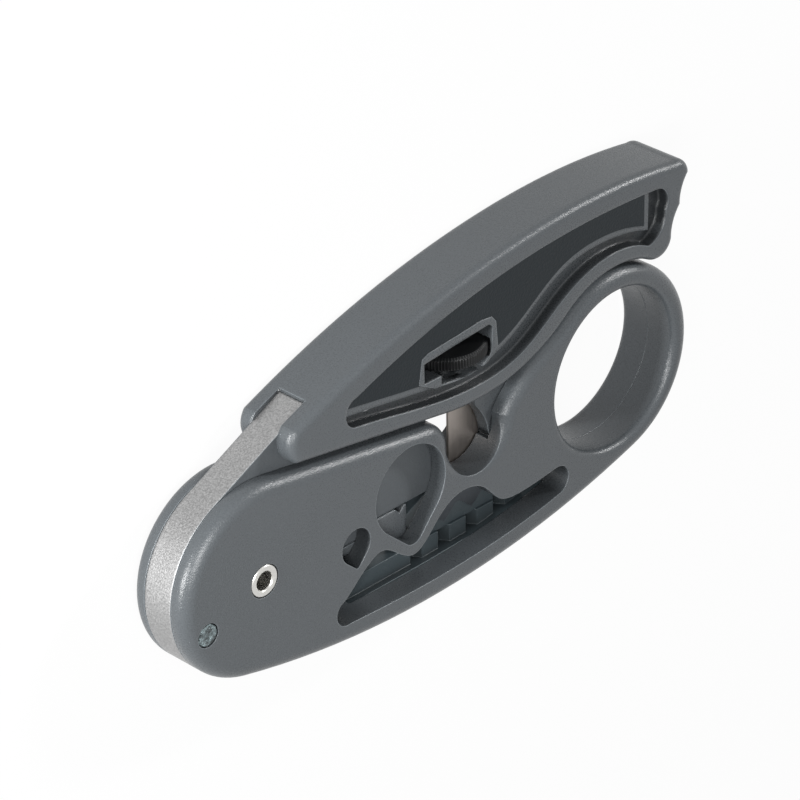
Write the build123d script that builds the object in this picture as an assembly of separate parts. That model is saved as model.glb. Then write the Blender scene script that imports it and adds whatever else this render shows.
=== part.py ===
"""Cable jacket stripper: two half shells, a pivoting lever and a blade set by a knurled wheel.

Millimetres. The origin is on the pivot axis, half way through the tool. +X runs from the
rounded nose to the finger ring, +Y towards the lever, +Z out of the front face.
"""
import os
from math import atan2, cos, degrees, hypot, pi, radians, sin, sqrt, tan

from build123d import *

# Thickness of the layers
THICKNESS = 13.0          # over both shells, and over the lever
ARM_T = 6.1               # plate of the lever arm, between the cheeks
ARM_PLAY = 0.15           # gap between the arm and each cheek
RUN_GAP = 0.3             # gap round a moving edge, in the plane of the tool
FIT = 0.05                # radial clearance of a pin or shaft that turns
SEAT = 0.02               # clearance of a piece that is clamped in its seat

# Body outline
NOSE_R = 18.0             # nose, concentric with the pivot
RING_X, RING_Y = 86.6, 3.8
RING_R = 19.5             # outside of the finger ring
FINGER_R = 15.5           # hole of the finger ring
BELLY_R = 178.0           # long lower edge, tangent to the nose and the ring
TOP_SLOPE = -9.2          # fall of the upper edge, degrees
CORNER_R = 5.0            # upper corner beside the cable notch
BODY_ROUND = 2.5          # outer edges of the shells
FINGER_ROUND = 1.4        # rim of the finger hole
HUB_WALL_LEFT = 4.0       # where the closed wall below the hub begins

# Cable notch
NOTCH_X, NOTCH_Y = 51.1, 4.9
NOTCH_R = 6.7
MOUTH_RISE = 1.6          # the rounded mouth stands this much above the notch

# Windows in the cheeks
TEAR_X, TEAR_Y, TEAR_R = 34.45, 2.2, 8.45
TEAR_TIP_X, TEAR_TIP_Y, TEAR_TIP_R = 35.0, -6.4, 2.4
EYE_X, EYE_Y, EYE_R = 21.25, -3.0, 3.35
EYE_TIP_X, EYE_TIP_Y, EYE_TIP_R = 21.5, -6.9, 0.6
BRIDGE = 2.1              # rib between the tear window and the slot
SLOT_FLOOR = -18.3        # lower edge of the slot at its middle
SLOT_LEFT, SLOT_RIGHT = 16.4, 74.1

# Pivot and stop
EYELET_BORE_R = 1.7
EYELET_WALL = 0.5
EYELET_FLANGE_R = 3.0
EYELET_FLANGE_T = 0.6
EYELET_SINK = 0.45        # depth of the seat that takes the flange
BUSH_WALL = 1.2
STOP_X, STOP_Y = -13.0, -4.5
STOP_R = 2.07
STOP_DOME = 0.4
STOP_RING = 0.15          # open ring round the head of the stop pin
STOP_PLAY = 0.15
OPEN_ANGLE = 22.0         # travel of the lever, degrees

# Return spring round the bush, its ends turned along the pivot axis
SPRING_R = 5.2
SPRING_WIRE = 0.8
SPRING_HALF_TURNS = 5
SPRING_TURN_GAP = 0.12    # between two turns
SPRING_BEND = 0.6         # bend from the coil into a leg
SPRING_POCKET_R = 6.2
SPRING_POCKET_DEEP = 3.4
SPRING_LEG = 1.2          # depth of the hole that takes a leg

# Dowels that line up the shells
DOWEL_R = 1.0
DOWEL_DEEP = 2.6          # into each shell
DOWEL_HOLE_EXTRA = 0.2
DOWELS = ((13.0, -17.6), (64.5, -4.0), (79.5, -12.2), (103.1, 9.8))

# Lever arm
HUB_R = NOSE_R
ARM_SLOPE = 26.0          # upper edge of the arm, degrees
ARM_TOP_X = 13.6          # where the arm runs out of the handle
ARM_STEP = 2.6            # the handle covers the arm this deep from there on
ARM_END_R = 43.2          # right end, concentric with the pivot
ARM_LOW_Y = -2.6          # cutting edge over the jaw
ARM_FOOT_Y = -4.6
ARM_FOOT_X, ARM_HEEL_X = 25.1, 28.8
ARM_HEEL_Y = -0.6
TANG_X, TANG_LOW_Y = 36.0, 16.2
ARM_PIN_R = 1.5
ARM_PINS = ((25.5, 22.6), (32.0, 24.4))
ARM_PIN_HALF = 5.2        # half length of an arm pin

# Lever handle
LEVER_GAP = 0.85          # between the lever and the finger ring
LEVER_ROUND = 1.6
LEVER_TOP = ((8.0, 24.9), (32.1, 33.5), (57.1, 38.8), (82.1, 40.6), (102.1, 39.1))
TAIL_RIDGES = ((105.5, 36.0), (103.55, 30.4), (101.4, 24.7))
SCALLOP = 0.6             # depth of a thumb scallop between two ridges

# Sides of the handle
POCKET_DEPTH = 2.3        # channel round the panel
PANEL_SINK = 0.4          # panel below the face of the handle
PANEL_RIGHT = 94.6
FRAME_SINK = 0.1          # frame of the wheel window below the face
LABEL_T = 0.25

# Claw on the handle
CLAW_LEFT = 54.0
CLAW_TIP_X, CLAW_TIP_Y = 57.3, 1.6
BLADE_GROOVE = 1.0        # width of the grooves that the blade passes through

# Knurled wheel, spindle, carriage and blade
WHEEL_X = 49.4
WHEEL_LOW, WHEEL_T = 20.45, 2.5
WHEEL_R = 7.5
WHEEL_CLEAR = 0.4
KNURLS = 48
KNURL_DEPTH = 0.35
SPINDLE_R = 1.5
SPINDLE_TOP = 30.0
SPINDLE_BUSH_WALL = 1.0
SPINDLE_BUSH_LOW, SPINDLE_BUSH_TOP = 26.2, 30.4
WASHER_R, WASHER_T = 3.0, 0.5
SLEEVE_R = 2.4            # sleeve between the wheel and the washer
SLEEVE_PLAY = 0.05
CARRIAGE_LEFT, CARRIAGE_RIGHT = 46.2, 58.1
CARRIAGE_LOW, CARRIAGE_TOP = 12.7, 17.0
CARRIAGE_T = 4.2
BLADE_TRAVEL = 3.0        # of the carriage, three turns of the wheel
BLADE_T = 0.5
BLADE_LEFT, BLADE_RIGHT = 50.1, 57.4
BLADE_SHANK_LEFT = 51.6
BLADE_LOW, BLADE_SHOULDER, BLADE_TOP = -2.9, 11.8, 15.6
BLADE_BEVEL = 1.4
RIVET_R = 0.6
RIVETS = ((53.6, 14.2), (56.2, 14.2))

# Detent leaf that clicks on the knurls
LEAF_T = 0.3
LEAF_W = 2.0
LEAF_X = 40.9
LEAF_LOW, LEAF_TOP = 17.6, 27.6

# Jaw, comb and wire blade
JAW_LEFT, JAW_RIGHT = 18.5, 36.5
JAW_LOW, JAW_FOOT = -6.4, -9.4
COMB_LEFT, COMB_RIGHT = 17.6, 73.0
COMB_BASE_TOP = -18.1
COMB_BASE_T = 1.7
COMB_TOP = -14.5
COMB_PITCH = 7.0
COMB_FIRST_LEFT, COMB_FIRST_RIGHT = 24.0, 40.5
COMB_TEETH = 4            # short teeth after the long first one
COMB_TOOTH_W = 4.4
COMB_SLANT = 2.4          # the gaps cross the tool at a slant
COMB_BASE_FRONT = 1.6     # height of the base's front face
COMB_FRONT = 0.2          # height of the teeth's front faces
WIRE_BLADE_LEFT, WIRE_BLADE_RIGHT = 45.0, 71.0
WIRE_BLADE_TOP, WIRE_BLADE_LOW = -7.0, -13.2
WIRE_BLADE_TOOTH = 2.6

HALF = THICKNESS / 2
SPINDLE_LOW = BLADE_SHOULDER + BLADE_TRAVEL + RUN_GAP     # clear of the risen blade
CHEEK_IN = ARM_T / 2 + ARM_PLAY       # inner face of each cheek
EYELET_R = EYELET_BORE_R + EYELET_WALL
BUSH_R = EYELET_R + SEAT + BUSH_WALL
OUT = 200.0                           # longer than the tool, for cuts


def disc(x, y, radius):
    return Pos(x, y) * Circle(radius)


def patch(*corners):
    """A flat face with straight sides."""
    return make_face(Polyline(*corners, close=True))


def slab(sketch, low, high):
    """The sketch as a plate between two heights."""
    return extrude(Pos(0, 0, low) * sketch, high - low)


def rod(x, y, radius, low, high):
    return slab(disc(x, y, radius), low, high)


def along_y(x, radius, low, high):
    """A round bar in the middle plane, with its axis parallel to Y."""
    return extrude(Plane((x, low, 0), x_dir=(1, 0, 0), z_dir=(0, 1, 0)) * Circle(radius), high - low)


def on_circle(x, y, radius, angle):
    return (x + radius * cos(radians(angle)), y + radius * sin(radians(angle)))


def bowed(start, end, depth):
    """Arc between two points that dips to the right of the way from one to the other."""
    run_x, run_y = end[0] - start[0], end[1] - start[1]
    span = hypot(run_x, run_y)
    middle = ((start[0] + end[0]) / 2 + depth * run_y / span,
              (start[1] + end[1]) / 2 - depth * run_x / span)
    return ThreePointArc(start, middle, end)


def hull(ax, ay, ar, bx, by, br):
    """Two circles and the lines that touch both."""
    along = degrees(atan2(by - ay, bx - ax))
    sine = (ar - br) / hypot(bx - ax, by - ay)
    lean = 90 - degrees(atan2(sine, sqrt(1 - sine * sine)))
    body = patch(on_circle(ax, ay, ar, along + lean), on_circle(bx, by, br, along + lean),
                 on_circle(bx, by, br, along - lean), on_circle(ax, ay, ar, along - lean))
    return disc(ax, ay, ar) + disc(bx, by, br) + body


def belly_centre():
    """Centre of the long lower arc, which touches the nose and the ring."""
    reach_nose, reach_ring = BELLY_R - NOSE_R, BELLY_R - RING_R
    span = hypot(RING_X, RING_Y)
    along = (span ** 2 + reach_nose ** 2 - reach_ring ** 2) / (2 * span)
    rise = sqrt(reach_nose ** 2 - along ** 2)
    ux, uy = RING_X / span, RING_Y / span
    return (along * ux - rise * uy, along * uy + rise * ux)


def body_outline():
    """Outline of a shell, with the rounded mouth over the cable notch."""
    cx, cy = belly_centre()
    low_left = on_circle(0, 0, NOSE_R, degrees(atan2(-cy, -cx)))
    low_right = on_circle(RING_X, RING_Y, RING_R, degrees(atan2(RING_Y - cy, RING_X - cx)))
    top_left = on_circle(0, 0, NOSE_R, 90 + TOP_SLOPE)
    mouth_y = NOTCH_Y + MOUTH_RISE
    mouth_left, mouth_right = NOTCH_X - NOTCH_R, NOTCH_X + NOTCH_R
    corner_x = mouth_left - CORNER_R
    arc_x, arc_y = on_circle(corner_x, 0, CORNER_R, 90 + TOP_SLOPE)
    corner_y = top_left[1] + (arc_x - top_left[0]) * tan(radians(TOP_SLOPE)) - arc_y
    ring_left = on_circle(RING_X, RING_Y, RING_R, 130)
    return make_face([
        ThreePointArc(low_left, (-NOSE_R, 0), top_left),
        Line(top_left, (arc_x, arc_y + corner_y)),
        ThreePointArc((arc_x, arc_y + corner_y),
                      on_circle(corner_x, corner_y, CORNER_R, (90 + TOP_SLOPE) / 2),
                      (mouth_left, corner_y)),
        Line((mouth_left, corner_y), (mouth_left, mouth_y)),
        ThreePointArc((mouth_left, mouth_y), (NOTCH_X, mouth_y - NOTCH_R), (mouth_right, mouth_y)),
        Spline((mouth_right, mouth_y), (mouth_right + 2.8, mouth_y + 3.4),
               (mouth_right + 8.2, mouth_y + 7.7), ring_left,
               tangents=((0.5, 0.9), (cos(radians(40)), sin(radians(40))))),
        ThreePointArc(ring_left, on_circle(RING_X, RING_Y, RING_R, 20), low_right),
        ThreePointArc(low_right, on_circle(cx, cy, BELLY_R, -90), low_left),
    ])


def tear_window():
    return hull(TEAR_X, TEAR_Y, TEAR_R, TEAR_TIP_X, TEAR_TIP_Y, TEAR_TIP_R)


def eye_window():
    return hull(EYE_X, EYE_Y, EYE_R, EYE_TIP_X, EYE_TIP_Y, EYE_TIP_R)


def slot_window():
    """Long wire slot: level floor, roof that dips round the tear window."""
    left, right, floor = SLOT_LEFT, SLOT_RIGHT, SLOT_FLOOR
    dip_x, dip_y = TEAR_TIP_X, TEAR_TIP_Y - TEAR_TIP_R - BRIDGE
    roof = Spline((left + 1.1, floor + 5.4), (24.7, -7.5), (27.4, -6.7), (30.0, -8.0),
                  (dip_x - 2.4, dip_y + 0.9), (dip_x, dip_y), (dip_x + 2.9, dip_y + 1.4),
                  (40.6, -6.8), (45.8, -3.7), (52.4, -5.2), (57.0, -9.6), (60.4, -10.3), (70.6, -9.5))
    end = ThreePointArc((70.6, -9.5), (right, -12.6), (71.6, -15.2))
    base = Spline((71.6, -15.2), (60.0, -17.1), (37.0, floor), (19.6, floor + 0.7))
    heel = ThreePointArc((19.6, floor + 0.7), (left, floor + 3.0), (left + 1.1, floor + 5.4))
    return make_face([roof, end, base, heel])


def arm_edge(x):
    """Height of the arm's upper edge above a place on X."""
    start_x, start_y = on_circle(0, 0, HUB_R, 90 + ARM_SLOPE)
    return start_y + (x - start_x) * tan(radians(ARM_SLOPE))


def arm_outline():
    """Hub, blade wedge and tang of the lever arm."""
    end_low = (sqrt(ARM_END_R ** 2 - ARM_LOW_Y ** 2), ARM_LOW_Y)
    end_top = (sqrt(ARM_END_R ** 2 - TANG_LOW_Y ** 2), TANG_LOW_Y)
    foot_left = (sqrt(HUB_R ** 2 - ARM_FOOT_Y ** 2), ARM_FOOT_Y)
    return make_face([
        ThreePointArc(foot_left, (0, -HUB_R), (-HUB_R, 0)),
        ThreePointArc((-HUB_R, 0), on_circle(0, 0, HUB_R, 150), on_circle(0, 0, HUB_R, 90 + ARM_SLOPE)),
        Polyline(on_circle(0, 0, HUB_R, 90 + ARM_SLOPE), (ARM_TOP_X, arm_edge(ARM_TOP_X)),
                 (ARM_TOP_X, arm_edge(ARM_TOP_X) - ARM_STEP),
                 (TANG_X, arm_edge(TANG_X) - ARM_STEP - 5.0), (TANG_X, TANG_LOW_Y), end_top),
        ThreePointArc(end_top, (ARM_END_R, 0), end_low),
        Polyline(end_low, (ARM_HEEL_X, ARM_LOW_Y), (ARM_HEEL_X, ARM_HEEL_Y),
                 (ARM_FOOT_X, ARM_HEEL_Y), (ARM_FOOT_X, ARM_FOOT_Y), foot_left),
    ])


def arm_void():
    """Room for the arm between the cheeks, also while it swings."""
    foot = ARM_FOOT_Y - RUN_GAP
    low = ARM_LOW_Y - RUN_GAP
    step = ARM_FOOT_X + RUN_GAP
    above = patch((0, foot), (step, foot), (step, low), (OUT, low), (OUT, OUT), (0, OUT))
    reach = disc(0, 0, ARM_END_R + RUN_GAP)
    nose = patch((-OUT, -OUT), (HUB_WALL_LEFT, -OUT), (HUB_WALL_LEFT, 0), (0, 0), (0, OUT), (-OUT, OUT))
    return disc(0, 0, HUB_R + RUN_GAP) + (above & reach) + nose


def jaw_outline(margin=0.0):
    """Fixed jaw under the arm, with the notch for a wire."""
    left, right = JAW_LEFT - margin, JAW_RIGHT + margin
    heel, top = ARM_FOOT_Y - RUN_GAP, ARM_LOW_Y - RUN_GAP
    rise = ARM_HEEL_X + 0.4
    return patch((left, heel), (rise, heel), (rise, top), (right - 2.6, top), (right - 1.5, top - 1.1),
                 (right - 0.5, top), (right, top), (right, JAW_FOOT + 1.2 - margin),
                 (right - 1.6, JAW_FOOT - margin), (32.0, JAW_FOOT - margin),
                 (29.5 - margin, JAW_LOW - margin), (left, JAW_LOW - margin))


def jaw_gap():
    """Open space between the jaw and the wall under the cable notch."""
    return patch((JAW_RIGHT, -9.0), (NOTCH_X - NOTCH_R - 0.8, -9.0), (NOTCH_X - NOTCH_R - 0.8, -2.0),
                 (JAW_RIGHT, -2.0))


def claw_outline():
    """Hook on the handle that draws a cable into the notch."""
    return make_face([
        Polyline((CLAW_LEFT, 13.2), (CLAW_LEFT, 9.0)),
        ThreePointArc((CLAW_LEFT, 9.0), (CLAW_TIP_X - 1.15, CLAW_TIP_Y + 4.3), (CLAW_TIP_X, CLAW_TIP_Y)),
        Spline((CLAW_TIP_X, CLAW_TIP_Y), (57.85, 4.4), (59.6, 7.3), (63.6, 10.0), (66.0, 15.4)),
        Polyline((66.0, 15.4), (60.0, 17.0), (CLAW_LEFT, 13.2)),
    ])


def claw_void():
    """Room for the claw between the cheeks."""
    gap = RUN_GAP
    return make_face([
        Polyline((CLAW_TIP_X - 3.0, CLAW_TIP_Y - gap), (CLAW_TIP_X + gap, CLAW_TIP_Y - gap)),
        Spline((CLAW_TIP_X + gap, CLAW_TIP_Y - gap), (58.2, 4.3), (59.9, 7.05), (63.8, 9.7), (66.6, 15.4)),
        Polyline((66.6, 15.4), (66.6, 30.0), (CLAW_TIP_X - 3.0, 30.0), (CLAW_TIP_X - 3.0, CLAW_TIP_Y - gap)),
    ])


def comb_bed(margin=0.0):
    """Outline of the comb's base, let into the wall below the slot."""
    top, low = COMB_BASE_TOP, COMB_BASE_TOP - COMB_BASE_T - margin
    left, right = COMB_LEFT - margin, COMB_RIGHT + margin
    return patch((left, top), (left, top - 0.6), (left + 5.0, low), (right - 18.0, low),
                 (right, top + 1.6), (right, top + 2.8), (right - 16.0, top + 0.4), (right - 30.0, top))


def comb_room(margin=0.0):
    """What the comb fills between the walls round the slot."""
    left, right = COMB_FIRST_LEFT - margin, COMB_RIGHT + margin
    low, top = COMB_BASE_TOP - 0.4 - margin, COMB_TOP + margin
    teeth = patch((left, low), (right - 18.0, low), (right, COMB_BASE_TOP + 1.6 - margin), (right, top),
                  (left, top))
    return comb_bed(margin) + teeth


def comb_teeth():
    """Teeth of the comb, each a block whose flanks cross the tool at a slant."""
    left = COMB_FIRST_RIGHT + COMB_PITCH - COMB_TOOTH_W
    blocks = [(COMB_FIRST_LEFT, COMB_FIRST_RIGHT)]
    blocks += [(left + i * COMB_PITCH, left + i * COMB_PITCH + COMB_TOOTH_W) for i in range(COMB_TEETH)]
    teeth = []
    for start, end in blocks:
        foot = Plane((0, COMB_BASE_TOP - 0.4, 0), x_dir=(1, 0, 0), z_dir=(0, 1, 0))
        back = CHEEK_IN - SEAT
        plan = patch((start, -COMB_FRONT), (end, -COMB_FRONT),
                     (end + COMB_SLANT, back), (start + COMB_SLANT, back))
        teeth.append(extrude(foot * plan, COMB_TOP - COMB_BASE_TOP + 0.4))
    return teeth


def wire_comb():
    comb = slab(comb_bed(), -CHEEK_IN + SEAT, COMB_BASE_FRONT)
    room = slab(comb_room(), -CHEEK_IN, COMB_BASE_FRONT)
    for tooth in comb_teeth():
        comb += tooth & room
    return comb


def wire_blade_outline():
    """Fixed strip with pointed teeth over the gaps of the comb."""
    points = [(WIRE_BLADE_LEFT, WIRE_BLADE_TOP)]
    root = WIRE_BLADE_LOW + WIRE_BLADE_TOOTH
    points.append((WIRE_BLADE_LEFT, root))
    tip = COMB_FIRST_RIGHT + 2 * COMB_PITCH - COMB_TOOTH_W - 1.3
    while tip + COMB_PITCH / 2 < WIRE_BLADE_RIGHT:
        points += [(tip - COMB_PITCH / 2 + 0.5, root), (tip, WIRE_BLADE_LOW),
                   (tip + COMB_PITCH / 2 - 0.5, root)]
        tip += COMB_PITCH
    points += [(WIRE_BLADE_RIGHT, root), (WIRE_BLADE_RIGHT, WIRE_BLADE_TOP)]
    return patch(*points)


def cheek_half():
    """Half of the body in front of the middle plane, before its own bores."""
    shell = slab(body_outline(), 0, HALF)
    face = shell.faces().sort_by(Axis.Z)[-1]
    shell = fillet(face.outer_wire().edges(), BODY_ROUND)
    shell -= rod(RING_X, RING_Y, FINGER_R, -1, HALF + 1)
    rim = [edge for edge in shell.edges().filter_by(GeomType.CIRCLE)
           if abs(edge.radius - FINGER_R) < 0.01 and edge.center().Z > HALF - 0.01]
    shell = fillet(rim, FINGER_ROUND)
    notch = disc(NOTCH_X, NOTCH_Y, NOTCH_R)
    notch += Pos(NOTCH_X, NOTCH_Y + MOUTH_RISE / 2) * Rectangle(2 * NOTCH_R, MOUTH_RISE)
    shell -= slab(notch, -1, HALF + 1)
    shell -= slab(tear_window() + eye_window() + slot_window(), -1, HALF + 1)
    hollow = arm_void() + jaw_outline(SEAT) + jaw_gap() + claw_void()
    shell -= slab(hollow, -1, CHEEK_IN)
    groove = patch((BLADE_LEFT - 1.0, BLADE_LOW - 0.8), (BLADE_RIGHT + 1.2, BLADE_LOW - 0.8),
                   (BLADE_RIGHT + 1.2, NOTCH_Y), (BLADE_LEFT - 1.0, NOTCH_Y))
    shell -= slab(groove, -1, BLADE_GROOVE / 2)
    shell -= slab(patch((WIRE_BLADE_LEFT - SEAT, -12.0), (WIRE_BLADE_RIGHT + SEAT, -12.0),
                        (WIRE_BLADE_RIGHT + SEAT, WIRE_BLADE_TOP + SEAT),
                        (WIRE_BLADE_LEFT - SEAT, WIRE_BLADE_TOP + SEAT)), -1, BLADE_T / 2 + SEAT)
    shell -= rod(0, 0, EYELET_R + SEAT, -1, HALF + 1)
    shell -= rod(0, 0, EYELET_FLANGE_R + 0.1, HALF - EYELET_SINK, HALF + 1)
    shell -= rod(STOP_X, STOP_Y, STOP_R + SEAT, -1, HALF + 1)
    shell -= rod(STOP_X, STOP_Y, STOP_R + STOP_RING, HALF - 0.8, HALF + 1)
    for x, y in DOWELS:
        shell -= rod(x, y, DOWEL_R + SEAT, -1, DOWEL_DEEP + DOWEL_HOLE_EXTRA)
    return shell


def front_shell(half):
    return half - slab(comb_room(SEAT), -1, COMB_BASE_FRONT + SEAT)


def rear_shell(half):
    shell = mirror(half, Plane.XY)
    shell -= slab(comb_room(SEAT), -CHEEK_IN, 1)
    leg_x, leg_y = spring_legs()[0]
    return shell - rod(leg_x, leg_y, SPRING_WIRE / 2 + SEAT, -CHEEK_IN - SPRING_LEG, 0)


def pivot_eyelet():
    length = HALF - EYELET_SINK
    tube = rod(0, 0, EYELET_R, -length, length)
    for side in (-1, 1):
        low, high = sorted((side * length, side * (length + EYELET_FLANGE_T)))
        tube += rod(0, 0, EYELET_FLANGE_R, low, high)
    rims = [edge for edge in tube.edges().filter_by(GeomType.CIRCLE)
            if abs(abs(edge.center().Z) - length - EYELET_FLANGE_T) < 0.01]
    tube = fillet(rims, EYELET_FLANGE_T * 0.7)
    return tube - rod(0, 0, EYELET_BORE_R, -OUT, OUT)


def pivot_bush():
    return rod(0, 0, BUSH_R, -CHEEK_IN, CHEEK_IN) - rod(0, 0, EYELET_R + SEAT, -OUT, OUT)


def stop_pin():
    pin = rod(STOP_X, STOP_Y, STOP_R, -HALF, HALF)
    return fillet(pin.edges().filter_by(GeomType.CIRCLE), STOP_DOME)


def spring_legs():
    """Places of the legs before the coil's start and past its end, seen along the pivot axis."""
    side = cos(pi * SPRING_HALF_TURNS)
    return (SPRING_R, -SPRING_BEND), (SPRING_R * side, SPRING_BEND * side)


def pocket_top():
    return -ARM_T / 2 + SPRING_POCKET_DEEP


def pivot_spring():
    """Coil of tilted half circles, with a bend into a straight leg at each end."""
    low = -CHEEK_IN + SPRING_WIRE / 2 + ARM_PLAY
    half_pitch = (SPRING_WIRE + SPRING_TURN_GAP) / 2
    top = low + half_pitch * SPRING_HALF_TURNS
    (first_x, first_y), (last_x, last_y) = spring_legs()
    bow = SPRING_BEND * (1 - sqrt(0.5))
    foot = (first_x, first_y, low - SPRING_BEND)
    head = (last_x, last_y, top + SPRING_BEND)
    path = [Line((first_x, first_y, SEAT - CHEEK_IN - SPRING_LEG), foot),
            ThreePointArc(foot, (first_x, first_y + bow, low - bow), (first_x, 0, low))]
    for i in range(SPRING_HALF_TURNS):
        side = cos(pi * i)
        start, end = low + i * half_pitch, low + (i + 1) * half_pitch
        bulge = hypot(SPRING_R, half_pitch / 2)
        path.append(ThreePointArc((SPRING_R * side, 0, start), (0, bulge * side, (start + end) / 2),
                                  (-SPRING_R * side, 0, end)))
    path.append(ThreePointArc((last_x, 0, top), (last_x, last_y * (1 - bow / SPRING_BEND), top + bow), head))
    path.append(Line(head, (last_x, last_y, pocket_top() + SPRING_LEG - SEAT)))
    route = Wire(path)
    return sweep(Plane(origin=route @ 0, z_dir=route % 0) * Circle(SPRING_WIRE / 2), path=route)


def shell_dowels():
    return Compound(children=[rod(x, y, DOWEL_R, -DOWEL_DEEP, DOWEL_DEEP) for x, y in DOWELS])


def anvil_jaw():
    return slab(jaw_outline(), -CHEEK_IN + SEAT, CHEEK_IN - SEAT)


def wire_blade():
    return slab(wire_blade_outline(), -BLADE_T / 2, BLADE_T / 2)


def stop_slot():
    """Arc slot that the stop pin runs in while the arm opens."""
    reach = hypot(STOP_X, STOP_Y)
    half = STOP_R + STOP_PLAY
    last = degrees(atan2(STOP_Y, STOP_X))
    first = last - OPEN_ANGLE
    middle = (first + last) / 2
    outer, inner = reach + half, reach - half
    band = make_face([
        ThreePointArc(on_circle(0, 0, outer, first), on_circle(0, 0, outer, middle),
                      on_circle(0, 0, outer, last)),
        Line(on_circle(0, 0, outer, last), on_circle(0, 0, inner, last)),
        ThreePointArc(on_circle(0, 0, inner, last), on_circle(0, 0, inner, middle),
                      on_circle(0, 0, inner, first)),
        Line(on_circle(0, 0, inner, first), on_circle(0, 0, outer, first)),
    ])
    return band + disc(STOP_X, STOP_Y, half) + disc(*on_circle(0, 0, reach, first), half)


def lever_arm():
    arm = slab(arm_outline(), -ARM_T / 2, ARM_T / 2)
    arm -= rod(0, 0, BUSH_R + FIT, -OUT, OUT)
    arm -= rod(0, 0, SPRING_POCKET_R, -OUT, pocket_top())
    leg_x, leg_y = spring_legs()[1]
    arm -= rod(leg_x, leg_y, SPRING_WIRE / 2 + SEAT, 0, pocket_top() + SPRING_LEG)
    arm -= slab(stop_slot(), -OUT, OUT)
    for x, y in ARM_PINS:
        arm -= rod(x, y, ARM_PIN_R + SEAT, -OUT, OUT)
    return arm


def arm_pins():
    return Compound(children=[rod(x, y, ARM_PIN_R, -ARM_PIN_HALF, ARM_PIN_HALF) for x, y in ARM_PINS])


def lever_outline():
    """Side view of the handle, with two scallops for the thumb at its tail."""
    ring_gap = RING_R + LEVER_GAP
    ring_left = on_circle(RING_X, RING_Y, ring_gap, 128)
    ring_right = on_circle(RING_X, RING_Y, ring_gap, 68)
    ridge_top, ridge_mid, ridge_low = TAIL_RIDGES
    return make_face([
        Spline(*reversed(LEVER_TOP)),
        ThreePointArc(LEVER_TOP[0], (6.9, 21.6), (8.6, 18.3)),
        Line((8.6, 18.3), (44.0, 12.7)),
        Spline((44.0, 12.7), (51.0, 12.2), (58.6, 12.9), (65.7, 15.0), ring_left,
               tangents=((35.4, -5.6), (cos(radians(38)), sin(radians(38))))),
        ThreePointArc(ring_left, on_circle(RING_X, RING_Y, ring_gap, 98), ring_right),
        Line(ring_right, (95.9, 21.8)),
        ThreePointArc((95.9, 21.8), (99.6, 22.0), ridge_low),
        bowed(ridge_low, ridge_mid, -SCALLOP),
        bowed(ridge_mid, ridge_top, -SCALLOP),
        ThreePointArc(ridge_top, (104.9, 37.9), LEVER_TOP[-1]),
    ])


def pocket_outline():
    """Sunk field on each side of the handle."""
    return make_face([
        Spline((21.6, 20.0), (32.1, 18.1), (50.1, 15.7), (62.1, 17.6), (74.1, 24.7), (85.1, 27.7),
               (94.6, 25.5)),
        ThreePointArc((94.6, 25.5), (97.6, 27.2), (98.9, 31.0)),
        ThreePointArc((98.9, 31.0), (99.0, 34.4), (96.6, 36.0)),
        Spline((96.6, 36.0), (82.1, 36.6), (62.1, 35.5), (42.1, 31.9), (22.1, 25.6)),
        ThreePointArc((22.1, 25.6), (19.5, 22.6), (21.6, 20.0)),
    ])


def panel_outline(inset=0.0):
    """Raised panel that fills the upper part of the pocket."""
    right = PANEL_RIGHT - inset
    left_y = 22.6 + 1.2 * inset
    lower = ((19.8, left_y), (32.1, 20.8 + inset), (41.1, 19.4 + inset), (50.0, 18.6 + inset),
             (55.5, 19.8 + inset), (62.1, 23.0 + inset), (72.1, 29.0 + inset), (82.1, 30.7 + inset),
             (right, 28.6 + inset))
    return make_face([
        Spline(*lower),
        Polyline((right, 28.6 + inset), (right, 45.0), (15.0, 45.0), (15.0, left_y + 0.6), (19.8, left_y)),
    ])


def wheel_window():
    return patch((38.1, 21.2), (38.1, 25.1), (53.9, 26.4), (54.8, 25.6), (54.5, 20.9), (52.1, 18.8),
                 (48.1, 18.6), (42.2, 19.5), (42.2, 21.2))


def wheel_frame():
    return patch((36.8, 21.6), (37.6, 26.2), (39.1, 26.8), (52.1, 27.9), (54.6, 27.6), (55.6, 26.4),
                 (56.1, 21.3), (52.1, 18.0), (42.1, 18.6))


def label_outline():
    """Printed field on the panel, clear of the wheel window's frame."""
    inner = pocket_outline() & panel_outline(1.3)
    return inner - offset(wheel_frame(), 0.1) - patch((40, 10), (57.5, 10), (56.0, 21.6), (40, 21.6))


def handle_half():
    """Half of the handle in front of the middle plane."""
    handle = slab(lever_outline(), 0, HALF)
    face = handle.faces().sort_by(Axis.Z)[-1]
    handle = fillet(face.outer_wire().edges(), LEVER_ROUND)
    handle -= slab(pocket_outline() - panel_outline(), HALF - POCKET_DEPTH, HALF + 1)
    handle -= slab(pocket_outline(), HALF - PANEL_SINK, HALF + 1)
    handle += slab(wheel_frame() & panel_outline(), HALF - POCKET_DEPTH, HALF - FRAME_SINK)
    handle -= slab(wheel_window(), -1, HALF + 1)
    handle += slab(claw_outline(), 0, ARM_T / 2)
    groove = patch((CLAW_LEFT - 1.0, 0), (BLADE_RIGHT + 0.5, 0), (BLADE_RIGHT + 0.5, CARRIAGE_LOW),
                   (CLAW_LEFT - 1.0, CARRIAGE_LOW))
    handle -= slab(groove, -1, BLADE_GROOVE / 2)
    handle -= slab(offset(arm_outline(), SEAT), -1, ARM_T / 2 + SEAT)
    handle -= slab(patch((0, 10), (ARM_TOP_X, 10), (ARM_TOP_X, 40), (0, 40)), -1, ARM_T / 2 + SEAT)
    return handle


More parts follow.
